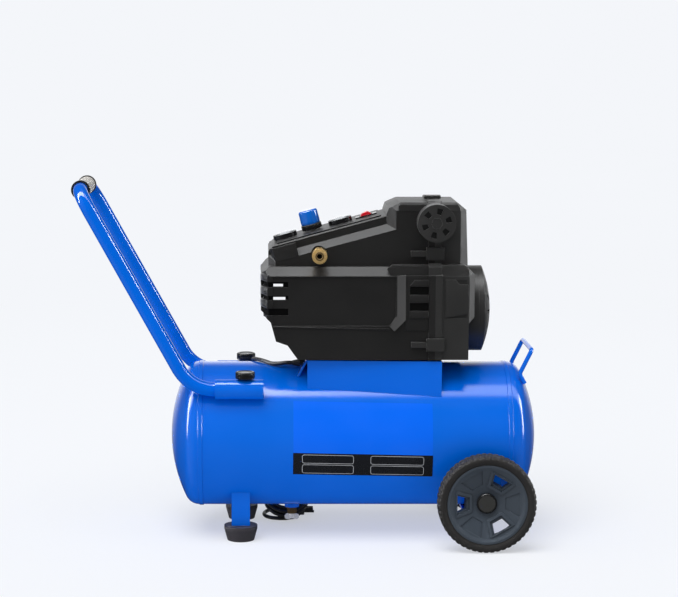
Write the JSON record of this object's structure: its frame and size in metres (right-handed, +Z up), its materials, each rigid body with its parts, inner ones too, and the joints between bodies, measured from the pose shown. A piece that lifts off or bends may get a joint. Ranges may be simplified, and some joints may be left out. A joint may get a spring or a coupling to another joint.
{
  "type": "portable air compressor",
  "caption": "Wheeled portable air compressor: horizontal tank on feet and wheels, push handle, shrouded oil-free pump with gauges, regulator, rocker switch, coupler and cord.",
  "frame": {"origin": "on the floor under the middle of the object's box, without its cord", "axes": "+X along the tank from the push handle to the wheels, -Y the side with the coupler and the filter, +Z up"},
  "size_m": [0.811, 0.376, 0.6275],
  "materials": {
    "blue_paint": "gloss",
    "black_housing": "satin",
    "black_plastic": "gloss",
    "black_rubber": "matte",
    "grey_rubber": "matte",
    "tyre_rubber": "matte",
    "rim_plastic": "satin",
    "grip_foam": "matte",
    "brass": "polished",
    "copper": "satin",
    "steel": "satin",
    "cast_aluminium": "satin",
    "clear_lens": "gloss",
    "red_plastic": "gloss",
    "blue_plastic": "gloss",
    "filter_felt": "matte"
  },
  "bodies": {
    "base": {"tank_shell": "blue_paint", "tank_head_left": "blue_paint", "tank_head_right": "blue_paint", "front_legs": "blue_paint", "wheel_bracket": "blue_paint", "handle_sockets": "blue_paint", "lift_handle": "blue_paint", "drain_bung": "blue_paint", "pump_deck": "blue_paint", "saddle_plates": "blue_paint", "shroud_motor_half": "black_housing", "shroud_fan_half": "black_housing", "fan_cover": "black_housing", "seam_clips": "black_housing", "control_panel": "black_housing", "filter_base": "black_housing", "hub_caps": "black_plastic", "gauge_cases": "black_plastic", "pressure_switch": "black_plastic", "shroud_pads": "black_rubber", "strain_relief": "black_rubber", "power_cord": "black_rubber", "cord_coil": "black_rubber", "power_plug": "black_rubber", "rubber_feet": "grey_rubber", "coupler_body": "brass", "safety_valve": "brass", "drain_valve": "brass", "check_valve": "brass", "air_lines": "copper", "axle_bolts": "steel", "pump_bearings": "steel", "motor_stator": "steel", "motor_frame": "cast_aluminium", "pump_cylinder": "cast_aluminium", "cylinder_head": "cast_aluminium", "air_manifold": "cast_aluminium", "gauge_lenses": "clear_lens", "filter_element": "filter_felt"},
    "wheel_near": {"wheel_rim_near": "rim_plastic", "tyre_near": "tyre_rubber"},
    "wheel_far": {"wheel_rim_far": "rim_plastic", "tyre_far": "tyre_rubber"},
    "handle": {"handle_tube": "blue_paint", "handle_grip": "grip_foam", "grip_collars": "black_rubber"},
    "lock_knob_near": {"lock_knob_near": "black_plastic"},
    "lock_knob_far": {"lock_knob_far": "black_plastic"},
    "regulator_knob": {"regulator_knob": "blue_plastic"},
    "switch_rocker": {"switch_rocker": "red_plastic"},
    "coupler_sleeve": {"coupler_sleeve": "brass"},
    "safety_ring": {"safety_ring": "steel"},
    "drain_wing": {"drain_wing": "steel"},
    "filter_cap": {"filter_cap": "black_housing"},
    "tank_needle": {"tank_needle": "red_plastic"},
    "outlet_needle": {"outlet_needle": "red_plastic"},
    "crank": {"crankshaft": "steel", "cooling_fan": "black_housing"},
    "connecting_rod": {"connecting_rod": "cast_aluminium"},
    "piston": {"piston": "cast_aluminium"}
  },
  "joints": [
    {"name": "wheel_near_spin", "type": "hinge", "parent": "base", "child": "wheel_near", "pos_m": [0.3063, -0.168, 0.084], "axis": [0, 1, 0], "continuous": true},
    {"name": "wheel_far_spin", "type": "hinge", "parent": "base", "child": "wheel_far", "pos_m": [0.3063, 0.168, 0.084], "axis": [0, 1, 0], "continuous": true},
    {"name": "handle_slide", "type": "slide", "parent": "base", "child": "handle", "axis": [-1, 0, 0], "range_m": [0, 0.02]},
    {"name": "lock_knob_near_turn", "type": "hinge", "parent": "base", "child": "lock_knob_near", "pos_m": [-0.1057, -0.108, 0.292], "axis": [0, 0, 1], "range_deg": [0, 720]},
    {"name": "lock_knob_far_turn", "type": "hinge", "parent": "base", "child": "lock_knob_far", "pos_m": [-0.1057, 0.108, 0.292], "axis": [0, 0, 1], "range_deg": [0, 720]},
    {"name": "regulator_turn", "type": "hinge", "parent": "base", "child": "regulator_knob", "pos_m": [0.0118, 0, 0.53736], "axis": [-0.2605, 0, 0.9655], "range_deg": [0, 1440]},
    {"name": "rocker_tip", "type": "hinge", "parent": "base", "child": "switch_rocker", "pos_m": [0.10649, 0, 0.55876], "axis": [0, 1, 0], "range_deg": [0, 16]},
    {"name": "coupler_release", "type": "slide", "parent": "base", "child": "coupler_sleeve", "axis": [0, 1, 0], "range_m": [0, 0.004], "stiffness_N_per_m": 1500},
    {"name": "safety_pull", "type": "slide", "parent": "base", "child": "safety_ring", "axis": [0, 1, 0], "range_m": [0, 0.003], "stiffness_N_per_m": 2000},
    {"name": "drain_turn", "type": "hinge", "parent": "base", "child": "drain_wing", "pos_m": [-0.0232, 0, 0.025], "axis": [0, 0, 1], "range_deg": [0, 360]},
    {"name": "filter_cap_turn", "type": "hinge", "parent": "base", "child": "filter_cap", "pos_m": [0.2213, -0.1, 0.557], "axis": [0, -1, 0], "range_deg": [0, 30]},
    {"name": "tank_needle_swing", "type": "hinge", "parent": "base", "child": "tank_needle", "pos_m": [-0.03551, 0, 0.52459], "axis": [0.2605, 0, -0.9655], "range_deg": [0, 270], "stiffness_Nm_per_rad": 0.0004},
    {"name": "outlet_needle_swing", "type": "hinge", "parent": "base", "child": "outlet_needle", "pos_m": [0.06104, 0, 0.55064], "axis": [0.2605, 0, -0.9655], "range_deg": [0, 270], "stiffness_Nm_per_rad": 0.0004},
    {"name": "crank_spin", "type": "hinge", "parent": "base", "child": "crank", "pos_m": [0.2213, 0, 0.398], "axis": [1, 0, 0], "continuous": true},
    {"name": "rod_pivot", "type": "hinge", "parent": "crank", "child": "connecting_rod", "pos_m": [0.2213, 0, 0.407], "axis": [1, 0, 0], "continuous": true},
    {"name": "piston_slide", "type": "slide", "parent": "base", "child": "piston", "axis": [0, 0, 1], "range_m": [-0.018, 0]}
  ],
  "couplings": [
    {"joint": "rod_pivot", "follows": "crank_spin", "ratio": -1}
  ]
}
